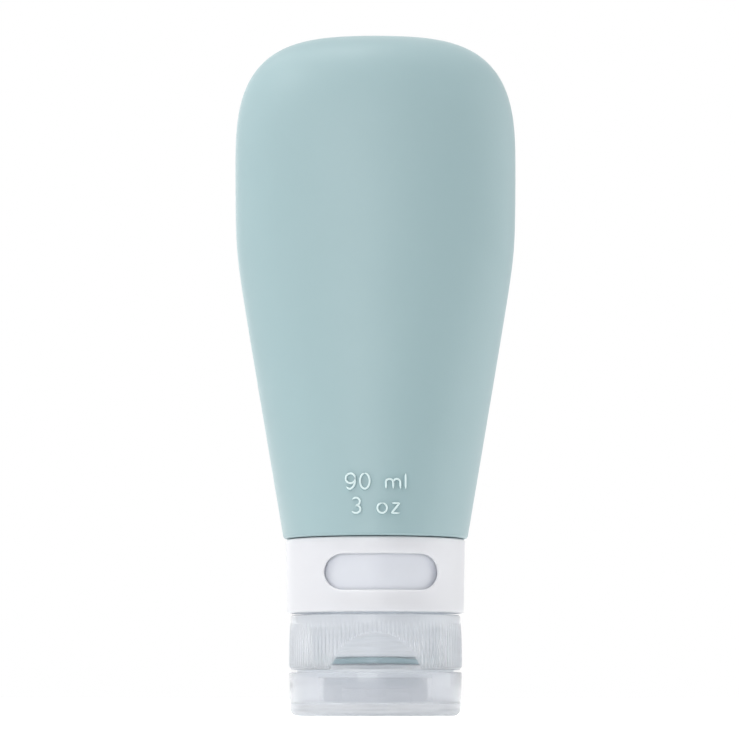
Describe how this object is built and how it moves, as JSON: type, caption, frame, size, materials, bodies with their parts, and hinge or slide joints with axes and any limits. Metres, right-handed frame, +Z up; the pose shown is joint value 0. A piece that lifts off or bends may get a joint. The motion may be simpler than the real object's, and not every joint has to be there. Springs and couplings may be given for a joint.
{
  "type": "travel silicone bottle",
  "caption": "Squeezable travel bottle: soft oval silicone body, hard neck with a turning window collar, ribbed screw cap with a slit valve, and a hinged flip lid that it stands on.",
  "frame": {"origin": "centre of the lid's flat face, on the table that the bottle stands on", "axes": "+Z up from the lid through the neck to the body's crown; the broad front, with the collar's window and the thumb scoop, faces -Y; +X to the right seen from the front; the lid's hinge is at +Y"},
  "size_m": [0.0582, 0.0378, 0.1406],
  "materials": {
    "body_silicone": "soft satin, slightly translucent",
    "neck_plastic": "natural",
    "ring_plastic": "satin",
    "collar_plastic": "satin",
    "clear_plastic": "clear, lightly frosted",
    "valve_silicone": "soft satin",
    "retainer_plastic": "natural"
  },
  "bodies": {
    "bottle": {"bottle_body": "body_silicone", "neck_tube": "neck_plastic", "content_ring": "ring_plastic"},
    "collar": {"window_collar": "collar_plastic"},
    "valve": {"spout_valve": "valve_silicone", "valve_retainer": "retainer_plastic"},
    "cap": {"cap_base": "clear_plastic"},
    "lid": {"flip_lid": "clear_plastic"}
  },
  "joints": [
    {"name": "collar_turn", "type": "hinge", "parent": "bottle", "child": "collar", "pos_m": [0, 0, 0.028], "axis": [0, 0, 1], "continuous": true},
    {"name": "cap_lift", "type": "slide", "parent": "bottle", "child": "valve", "axis": [0, 0, -1], "range_m": [0, 0.0101]},
    {"name": "cap_turn", "type": "hinge", "parent": "valve", "child": "cap", "pos_m": [0, 0, 0.0103], "axis": [0, 0, -1], "range_deg": [0, 900]},
    {"name": "lid_hinge", "type": "hinge", "parent": "cap", "child": "lid", "pos_m": [0, 0.01635, 0.0091], "axis": [1, 0, 0], "range_deg": [0, 135]}
  ],
  "couplings": [
    {"joint": "cap_lift", "follows": "cap_turn", "m_per_rad": 0.00063662}
  ]
}
